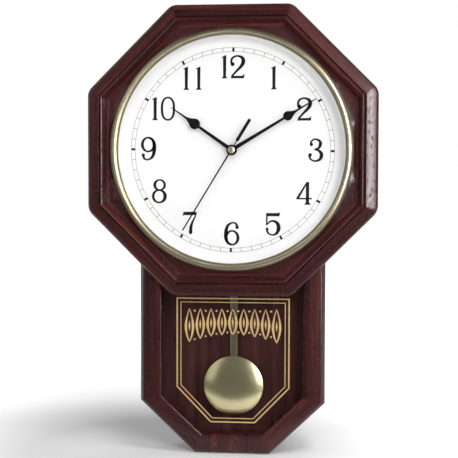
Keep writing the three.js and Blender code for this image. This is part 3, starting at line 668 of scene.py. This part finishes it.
def dot(x, z, radius, steps=20):
    rim = [polar(radius, 2 * math.pi * step / steps) for step in range(steps)]
    return [[(x + dx, z + dz) for dx, dz in rim]]


def loop(x, z, half_width, half_height, side, top, heavy=0.0, squareness=1.0, steps=48):
    """A closed oval stroke. heavy moves weight to the right (positive) or to the left (negative)."""
    rim = []
    for step in range(steps + 1):
        angle = 2 * math.pi * step / steps
        cos, sin = math.cos(angle), math.sin(angle)
        push = abs(sin) ** squareness * math.copysign(1, sin)
        width = top + (side * (1 + heavy * cos) - top) * cos * cos
        rim.append((x + half_width * cos, z + half_height * push, width))
    quads = []
    for a, b in zip(rim, rim[1:]):
        pair = []
        for px, pz, width in (a, b):
            outward = Vector(((px - x) / half_width**2, (pz - z) / half_height**2)).normalized()
            normal = outward * width * PEN / 2
            pair.append(((px - normal.x, pz - normal.y), (px + normal.x, pz + normal.y)))
        quads.append([pair[0][0], pair[0][1], pair[1][1], pair[1][0]])
    return quads


def figure_one():
    return [
        [(-1.4, -9.3), (1.5, -9.3), (1.75, 11.6), (0.5, 11.6), (-1.6, 9.2)],
        [(-1.45, 9.2), (0.5, 11.6), (-1.0, 10.6), (-3.0, 9.7), (-2.9, 9.1)],
        [(-2.9, -11.5), (2.9, -11.5), (2.8, -10.9), (1.35, -9.3), (-1.25, -9.3), (-2.8, -10.9)],
    ]


def figure_two():
    curl = [(-4.7, 2.4, 2.6), (-6.3, 4.4, 1.9), (-5.2, 8.7, 1.8), (-0.4, 10.8, 1.5), (4.5, 9.0, 2.6),
            (5.7, 5.0, 3.3), (3.6, 0.6, 2.7), (-1.4, -4.6, 1.9), (-6.2, -9.9, 1.6)]
    foot = [[(-7.2, -11.5), (6.4, -11.5), (6.9, -9.8), (6.6, -8.9), (-5.6, -8.9)],
            [(4.6, -8.9), (6.6, -8.9), (7.3, -6.9), (6.6, -7.3)]]
    return stroke(curl) + dot(-5.0, 2.6, 2.0) + foot


def figure_three():
    upper = [(-4.4, 5.8, 2.0), (-4.7, 8.2, 1.6), (-0.9, 10.9, 1.4), (3.6, 9.2, 2.1), (4.6, 5.9, 2.8),
             (2.9, 2.1, 2.0), (-1.4, 0.6, 1.2)]
    lower = [(-1.4, 0.6, 1.2), (3.2, -0.6, 2.0), (5.7, -4.4, 3.1), (4.3, -8.9, 2.5), (-0.2, -10.9, 1.5),
             (-4.9, -9.2, 1.5), (-6.3, -5.6, 2.2)]
    return stroke(upper) + stroke(lower) + dot(-4.3, 5.6, 1.7) + dot(-5.6, -4.8, 1.85)


def figure_four():
    return [
        [(2.1, 11.2), (5.2, 11.2), (5.1, 10.6), (5.1, -9.4), (1.8, -9.4), (1.8, 9.4)],
        [(0.1, -11.5), (6.8, -11.5), (6.5, -10.8), (5.1, -9.3), (1.8, -9.3), (0.4, -10.8)],
        [(-7.7, -6.1), (7.3, -6.1), (7.3, -4.6), (-7.7, -4.6)],
        [(-7.7, -6.1), (-5.1, -5.4), (3.9, 11.2), (2.4, 11.2), (-7.7, -4.5)],
        [(6.6, -4.7), (7.6, -3.9), (7.6, -6.7), (6.6, -5.9)],
    ]


def figure_five():
    bowl = [(-6.3, -0.9, 1.1), (-3.2, 2.3, 1.5), (0.8, 3.1, 1.8), (4.6, 0.6, 2.8), (5.8, -4.1, 3.3),
            (3.9, -8.9, 2.4), (0.0, -10.9, 1.4), (-4.3, -9.4, 1.5), (-6.1, -6.0, 2.0)]
    bar = [[(-6.9, 11.1), (5.9, 11.1), (6.6, 7.9), (-6.9, 7.9)],
           [(5.0, 11.0), (7.3, 12.1), (6.6, 8.1)],
           [(-6.9, 8.4), (-5.2, 8.4), (-5.6, -1.2), (-7.0, -1.2)]]
    return stroke(bowl) + bar + dot(-5.8, -4.9, 1.45)


def figure_six():
    back = [(5.1, 7.3, 2.2), (3.9, 10.1, 1.7), (0.4, 11.0, 1.4), (-4.0, 8.3, 2.3), (-5.9, 2.5, 3.0),
            (-6.0, -4.5, 3.0), (-3.9, -9.3, 2.2), (0.0, -11.1, 1.5)]
    return stroke(back) + loop(0.1, -4.2, 6.0, 7.0, 2.5, 1.5, 0.0) + dot(5.2, 6.4, 1.75)


def figure_seven():
    leg = [(6.4, 7.6, 1.1), (3.4, 1.6, 1.6), (1.6, -3.6, 2.4), (1.2, -8.0, 2.9), (1.1, -10.4, 3.0)]
    bar = [[(-6.1, 11.1), (7.2, 11.1), (6.9, 7.6), (-7.0, 7.6)],
           [(-7.0, 7.6), (-6.1, 11.1), (-5.3, 7.6), (-7.4, 6.8)],
           [(5.4, 10.9), (7.2, 10.9), (7.2, 9.3), (6.7, 7.4), (5.4, 7.4)]]
    return stroke(leg) + bar + dot(1.1, -10.3, 1.5)


def figure_eight():
    return loop(0.6, 6.0, 5.1, 5.1, 2.3, 1.4, -0.1) + loop(0.0, -5.4, 6.1, 6.3, 2.6, 1.5, 0.15)


def figure_nine():
    return [[(-x, -z) for x, z in polygon] for polygon in figure_six()]


def figure_zero():
    return loop(0.0, 0.0, 6.1, 11.2, 2.0, 1.5, 0.0, 0.72)


FIGURES = [figure_zero, figure_one, figure_two, figure_three, figure_four, figure_five, figure_six,
           figure_seven, figure_eight, figure_nine]
NUMERAL_PLACES = {
    1: (41.6, 72.0), 2: (72.1, 40.8), 3: (83.6, 0.0), 4: (72.2, -43.0),
    5: (41.2, -74.0), 6: (0.0, -83.8), 7: (-43.0, -73.0), 8: (-74.0, -41.0),
    9: (-85.0, 1.6), 10: (-70.8, 41.8), 11: (-40.4, 72.0), 12: (1.4, 83.2),
}
PAIR_SHIFTS = {10: (-7.3, 5.8), 11: (-6.0, 6.6), 12: (-9.2, 3.9)}


def place_figure(digit, x, z):
    return [[(px + x, DIAL_Z + pz + z) for px, pz in polygon] for polygon in FIGURES[digit]()]


for hour, (x, z) in NUMERAL_PLACES.items():
    if hour < 10:
        polygons = place_figure(hour, x, z)
    else:
        first, second = PAIR_SHIFTS[hour]
        polygons = place_figure(1, x + first, z) + place_figure(hour - 10, x + second, z)
    flat_print(f"numeral_{hour}", polygons, PRINT_Y, INK, "case")


# ---- Cap over the hands ----------------------------------------------------------------------

CAP = [(0.02, -61.1), (3.5, -61.1), (3.45, -61.4), (3.2, -61.75), (2.7, -62.05), (2.0, -62.3), (1.1, -62.44),
       (0.02, -62.5)]
cap = turned("hub_dome", CAP, brass("cap_brass", tone=1.4, rough=0.3, spin=(0, DIAL_Z)), "second_arbor",
             (0, DIAL_Z), 48)
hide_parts("second_hand_cap")


# ---- Gilt lines and ornament on the trunk glass ----------------------------------------------

DECAL_Y = TRUNK_GLASS_FRONT - 0.03
DECAL_HALF = 58.5
DECAL_TOP = -149.0
DECAL_SHOULDER = -241.8
DECAL_FOOT = -278.4
DECAL_FOOT_HALF = 23.1


def decal_outline(inset):
    slope = (DECAL_SHOULDER - DECAL_FOOT) / (DECAL_HALF - DECAL_FOOT_HALF)
    lift = inset * (math.sqrt(1 + slope * slope) - slope)
    half = DECAL_HALF - inset
    foot_half = DECAL_FOOT_HALF - inset * (math.sqrt(1 + 1 / slope**2) - 1 / slope)
    return [
        (half, DECAL_TOP - inset + HEAD_Z), (half, DECAL_SHOULDER + lift + HEAD_Z),
        (foot_half, DECAL_FOOT + inset + HEAD_Z), (-foot_half, DECAL_FOOT + inset + HEAD_Z),
        (-half, DECAL_SHOULDER + lift + HEAD_Z), (-half, DECAL_TOP - inset + HEAD_Z),
    ]


def decal_line(inset, width):
    outer = decal_outline(inset)
    inner = decal_outline(inset + width)
    count = len(outer)
    return [[outer[i], outer[(i + 1) % count], inner[(i + 1) % count], inner[i]] for i in range(count)]


flat_print("gilt_line_outer", decal_line(0.35, 1.35), DECAL_Y, GOLD_PAINT, "case", 0.04)
flat_print("gilt_line_inner", decal_line(4.5, 0.85), DECAL_Y, GOLD_PAINT, "case", 0.04)

BAND_HALF = 49.0
BAND_TOP = -160.6
BAND_LOW = -187.0
LEAF_COUNT = 9


def leaf_half(side, x, top, foot, width):
    """One side of an upright leaf: a crescent that is widest below the middle."""
    height = top - foot
    return stroke([
        (x, top, 0.5), (x + side * 0.30 * width, top - 0.22 * height, 1.0),
        (x + side * 0.50 * width, top - 0.52 * height, 2.1),
        (x + side * 0.34 * width, top - 0.80 * height, 1.5), (x, foot, 0.7),
    ], 6)


ornament = []
for leaf in range(LEAF_COUNT):
    share = 2 * leaf / (LEAF_COUNT - 1) - 1
    leaf_x = share * (BAND_HALF - 4.2)
    top = BAND_TOP + HEAD_Z
    foot = BAND_LOW - 8.0 * share * share + HEAD_Z
    for hand in (-1, 1):
        ornament += leaf_half(hand, leaf_x, top, foot, 7.4)
    middle = (top + foot) / 2
    ornament.append([(leaf_x, middle + 5.2), (leaf_x - 1.1, middle - 0.5), (leaf_x, middle - 6.2),
                     (leaf_x + 1.1, middle - 0.5)])
    if leaf < LEAF_COUNT - 1:
        between = leaf_x + (BAND_HALF - 4.2) / (LEAF_COUNT - 1)
        ornament += dot(between, top - 2.2, 1.0) + dot(between, foot + 2.6, 1.0)
flat_print("gilt_leaves", ornament, DECAL_Y, GOLD_PAINT, "case", 0.04)


# ---- Pendulum --------------------------------------------------------------------------------

BOB_RADIUS = 31.3
BOB_FRONT = -33.5
BOB_BACK = -25.5
DOME_SAG = 4.4
DOME_EDGE = 30.6


def dome(radius, front):
    """A lens that is flatter in the middle than at its edge."""
    return front + DOME_SAG * (radius / DOME_EDGE) ** 3


bob_profile = [(0.02, BOB_FRONT)]
bob_profile += [(DOME_EDGE * step / 14, dome(DOME_EDGE * step / 14, BOB_FRONT)) for step in range(1, 15)]
bob_profile += [(31.1, -27.2), (31.3, -26.8), (BOB_RADIUS, -26.3), (31.3, BOB_BACK), (30.6, BOB_BACK)]
bob_profile += [(30.2, -26.2)]
bob_profile += [(29.6 * step / 8, dome(29.6 * step / 8, BOB_FRONT + 0.7)) for step in range(8, 0, -1)]
bob_profile += [(0.02, BOB_FRONT + 0.7)]
bob = turned("bob_dome", bob_profile, BOB_BRASS, "pendulum", (0, BOB_Z), 96)
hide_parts("bob_front")


def rod_brass():
    """Brushed brass strip with a painted highlight: its long edges are coloured near white."""
    paint = Paint("rod_brass")
    lines = paint.noise(paint.place((1, 1, 0.02)), 1500, 2, 0.5)
    where = paint.add("ShaderNodeTexCoord")
    parts = paint.add("ShaderNodeSeparateXYZ")
    paint.link(where.outputs["Object"], parts.inputs["Vector"])
    # painted highlight: a near-white colour along both long edges of the strip
    edge_highlight = paint.math("GREATER_THAN", paint.math("ABSOLUTE", parts.outputs["X"]), 0.0029)
    paint.color(paint.mix(edge_highlight, (0.50, 0.43, 0.27), (1.0, 0.92, 0.72)))
    paint.set(Metallic=1.0)
    paint.roughness(paint.spread(lines, 0.26, 0.38))
    paint.bump(lines, 0.06, 0.0001)
    return paint.material


# ---- Finishes of the frame's own pieces ------------------------------------------------------


def battery_sleeve():
    """A plain blue cell sleeve with a copper-coloured end and a bare metal nub."""
    paint = Paint("cell_sleeve")
    where = paint.add("ShaderNodeTexCoord")
    parts = paint.add("ShaderNodeSeparateXYZ")
    paint.link(where.outputs["Object"], parts.inputs["Vector"])
    along = paint.math("MULTIPLY", paint.math("ADD", parts.outputs["X"], 0.03), 16.0)
    bands = paint.ramp(along, (0.0, (0.03, 0.07, 0.20)), (0.68, (0.55, 0.27, 0.12)), (0.86, (0.6, 0.6, 0.6)))
    band_node = bands.node
    band_node.color_ramp.interpolation = "CONSTANT"
    scuff = paint.noise(paint.place(), 500, 3, 0.6)
    paint.color(paint.mix(0.25, bands, paint.ramp(scuff, (0.3, 0.7), (0.7, 1.0)), "MULTIPLY"))
    paint.roughness(paint.spread(scuff, 0.22, 0.38))
    paint.set(Metallic=0.35)
    return paint.material


def circuit():
    """Green solder mask with paler straight tracks."""
    paint = Paint("circuit_mask")
    tracks = paint.noise(paint.place((0.15, 1, 1)), 900, 0, 0.0)
    paint.color(paint.ramp(tracks, (0.45, (0.010, 0.07, 0.025)), (0.5, (0.03, 0.14, 0.05))))
    paint.roughness(paint.spread(tracks, 0.3, 0.42))
    return paint.material


SIDE_WOOD = wood("mahogany_case", "z", 31.0, 0.9, 0.0, 0.8)
LEVEL_WOOD = wood("mahogany_case_level", "x", 37.0, 0.9, 0.0, 0.8)
slant = math.atan2(TRUNK_FOOT - TRUNK_SHOULDER, TRUNK_HALF - TRUNK_FOOT_HALF)
FINISHES = {
    "trunk_board_right": SIDE_WOOD, "trunk_board_left": SIDE_WOOD,
    "trunk_board_lower_right": wood("mahogany_case_slant_right", "x", 41.0, 0.9, slant, 0.8),
    "trunk_board_lower_left": wood("mahogany_case_slant_left", "x", 43.0, 0.9, -slant, 0.8),
    "trunk_board_foot": LEVEL_WOOD, "top_board": LEVEL_WOOD,
    "head_backing_board": board("backing_board", (0.030, 0.008, 0.009), (0.16, 0.085, 0.045), -0.0385),
    "back_panel": board("back_board", (0.075, 0.024, 0.021), (0.17, 0.095, 0.052), -0.0045),
    "glazing_bead_right": wood("stained_bead_right", "z", 47.0, 0.5),
    "glazing_bead_left": wood("stained_bead_left", "z", 49.0, 0.5),
    "trunk_glass": GLASS, "dial_glass": GLASS,
    "hanger_plate": STEEL, "hanger_screw_left": STEEL, "hanger_screw_right": STEEL,
    "ring_nut": STEEL, "dial_washer": RUBBER, "centre_bush": PART_BRASS,
    "hour_hand": HAND_BLACK, "minute_hand": HAND_BLACK, "second_hand": HAND_BLACK,
    "movement_housing": BLACK_PLASTIC, "movement_cover": BLACK_PLASTIC, "set_knob": BLACK_PLASTIC,
    "stator": LAMINATION, "motor_coil": COPPER, "drive_coil": FLAT_COPPER, "circuit_board": circuit(),
    "battery": battery_sleeve(), "battery_contact_plus": STEEL, "battery_contact_minus": STEEL,
    "second_wheel": WHITE_PLASTIC, "third_wheel": WHITE_PLASTIC, "reduction_wheel": WHITE_PLASTIC,
    "hour_wheel": WHITE_PLASTIC, "transfer_wheel": WHITE_PLASTIC, "centre_wheel": PART_BRASS,
    "cannon_pinion": PART_BRASS, "rotor": MAGNET, "drive_magnet": MAGNET,
    "pendulum_hanger": WHITE_PLASTIC, "pendulum_rod": rod_brass(), "bob_back": BOB_BRASS,
}
for node_name, finish in FINISHES.items():
    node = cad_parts[node_name]
    for material_slot in node.material_slots:
        material_slot.material = finish


# ---- Camera, floor and light -----------------------------------------------------------------

camera_data = bpy.data.cameras.new("camera")
camera_data.sensor_width = 36.0
camera_data.lens = 79.15
camera = bpy.data.objects.new("camera", camera_data)
bpy.context.scene.collection.objects.link(camera)
YAW = math.radians(5.18)
PITCH = math.radians(-2.32)
ROLL = math.radians(0.13)
yawed = Matrix.Rotation(YAW, 3, "Z")
pitched = Matrix.Rotation(math.pi / 2 + PITCH, 3, "X")
rolled = Matrix.Rotation(ROLL, 3, "Z")
camera.rotation_euler = (yawed @ pitched @ rolled).to_euler()
camera.location = (0.0885, -1.060, -0.1121)
bpy.context.scene.camera = camera
bpy.context.scene.view_settings.view_transform = "Standard"


def add_light(name, location, target, width, height, power, gloss=True, diffuse=True):
    """A soft box. One may be left out of reflections, or light nothing but reflections."""
    data = bpy.data.lights.new(name, "AREA")
    data.shape = "RECTANGLE"
    data.size = width
    data.size_y = height
    data.energy = power
    light = bpy.data.objects.new(name, data)
    light.location = location
    light.visible_glossy = gloss
    light.visible_diffuse = diffuse
    direction = Vector(target) - Vector(location)
    light.rotation_euler = direction.to_track_quat("-Z", "Y").to_euler()
    bpy.context.scene.collection.objects.link(light)


HEAD_FRONT = (0, -0.05, -0.15)
BOB_POINT = (0, -0.03, -0.32)
add_light("key", (0.60, -1.40, 0.42), HEAD_FRONT, 0.6, 0.6, 9.6, gloss=False)
add_light("overhead", (0.60, -0.75, 1.35), HEAD_FRONT, 0.7, 0.6, 12.5, gloss=False)
add_light("front", (-0.50, -1.50, 0.25), HEAD_FRONT, 0.9, 0.7, 4.6, gloss=False)
add_light("back", (0.50, 1.30, 1.10), HEAD_FRONT, 1.2, 0.9, 5.0)
add_light("right_window", (1.10, -0.95, 0.15), HEAD_FRONT, 0.30, 1.2, 26.0, diffuse=False)
add_light("left_card", (-1.25, -0.05, 0.35), HEAD_FRONT, 0.9, 1.9, 5.5)
add_light("right_strip", (0.85, -1.20, 0.00), BOB_POINT, 0.34, 0.9, 3.4)
add_light("left_strip", (-0.80, -1.10, 0.10), BOB_POINT, 0.5, 1.1, 0.9)

FLOOR_Z = -0.3825
FLOOR_SPLIT = -0.15  # in front of this line the floor is left out of reflections
# the painted glow is centred left of the clock, so the floor reads darker on the left: painted shade
GLOW_CENTRE = (-0.09, -0.03, 0)


def floor_material():
    """Pale paper sweep with a painted glow that rises to white far away and stays dim near the clock, a
    painted shade round its foot. The glow shows and reflects, but lights no surface.
    """
    paint = Paint("pale_floor")
    paint.set(Roughness=0.8, Specular_IOR_Level=0.1)
    where = paint.place()
    distance = paint.add("ShaderNodeVectorMath")
    distance.operation = "DISTANCE"
    distance.inputs[1].default_value = GLOW_CENTRE
    paint.link(where, distance.inputs[0])
    reach = paint.add("ShaderNodeMapRange")
    reach.inputs["From Min"].default_value = 0.12
    reach.inputs["From Max"].default_value = 1.3
    paint.link(distance.outputs["Value"], reach.inputs["Value"])
    rays = paint.add("ShaderNodeLightPath")
    # painted glow: low near the clock, which paints shade round the foot, and white far away
    painted_glow = paint.ramp(reach.outputs["Result"], (0.0, 0.05), (0.12, 0.48), (0.38, 0.8), (1.0, 1.0))
    direct = paint.math("SUBTRACT", 1.0, rays.outputs["Is Diffuse Ray"])
    seen = paint.math("MULTIPLY", painted_glow, direct)
    paint.link(seen, paint.shader.inputs["Emission Color"])
    paint.shader.inputs["Emission Strength"].default_value = 1.0
    mottle = paint.noise(where, 3, 2, 0.5)
    paint.color(paint.ramp(mottle, (0.3, 0.83), (0.7, 0.85)))
    return paint.material


PALE_FLOOR = floor_material()


def floor_half(name, near, far, reflected):
    """Half the floor as a grid, its origin under the clock like the other half's."""
    shape = bmesh.new()
    rows = [near + (far - near) * step / 6 for step in range(7)]
    corners = [[shape.verts.new((-6 + 1.5 * step, y, 0)) for step in range(9)] for y in rows]
    for lower, upper in zip(corners, corners[1:]):
        for index in range(8):
            shape.faces.new((lower[index], lower[index + 1], upper[index + 1], upper[index]))
    mesh = bpy.data.meshes.new(name)
    shape.to_mesh(mesh)
    shape.free()
    mesh.materials.append(PALE_FLOOR)
    half = bpy.data.objects.new(name, mesh)
    half.location = (0, 0, FLOOR_Z)
    half.visible_glossy = reflected
    bpy.context.scene.collection.objects.link(half)


floor_half("floor_front", -6.0, FLOOR_SPLIT, False)
floor_half("floor_back", FLOOR_SPLIT, 6.0, True)

world = bpy.data.worlds.new("studio")
bpy.context.scene.world = world
world.use_nodes = True
background = world.node_tree.nodes["Background"]
background.inputs["Color"].default_value = (1, 1, 1, 1)
background.inputs["Strength"].default_value = 0.12
backdrop = world.node_tree.nodes.new("ShaderNodeBackground")
backdrop.inputs["Color"].default_value = (1, 1, 1, 1)
backdrop.inputs["Strength"].default_value = 1.0
rays = world.node_tree.nodes.new("ShaderNodeLightPath")
choose = world.node_tree.nodes.new("ShaderNodeMixShader")
world.node_tree.links.new(rays.outputs["Is Camera Ray"], choose.inputs["Fac"])
world.node_tree.links.new(background.outputs["Background"], choose.inputs[1])
world.node_tree.links.new(backdrop.outputs["Background"], choose.inputs[2])
world.node_tree.links.new(choose.outputs["Shader"], world.node_tree.nodes["World Output"].inputs["Surface"])
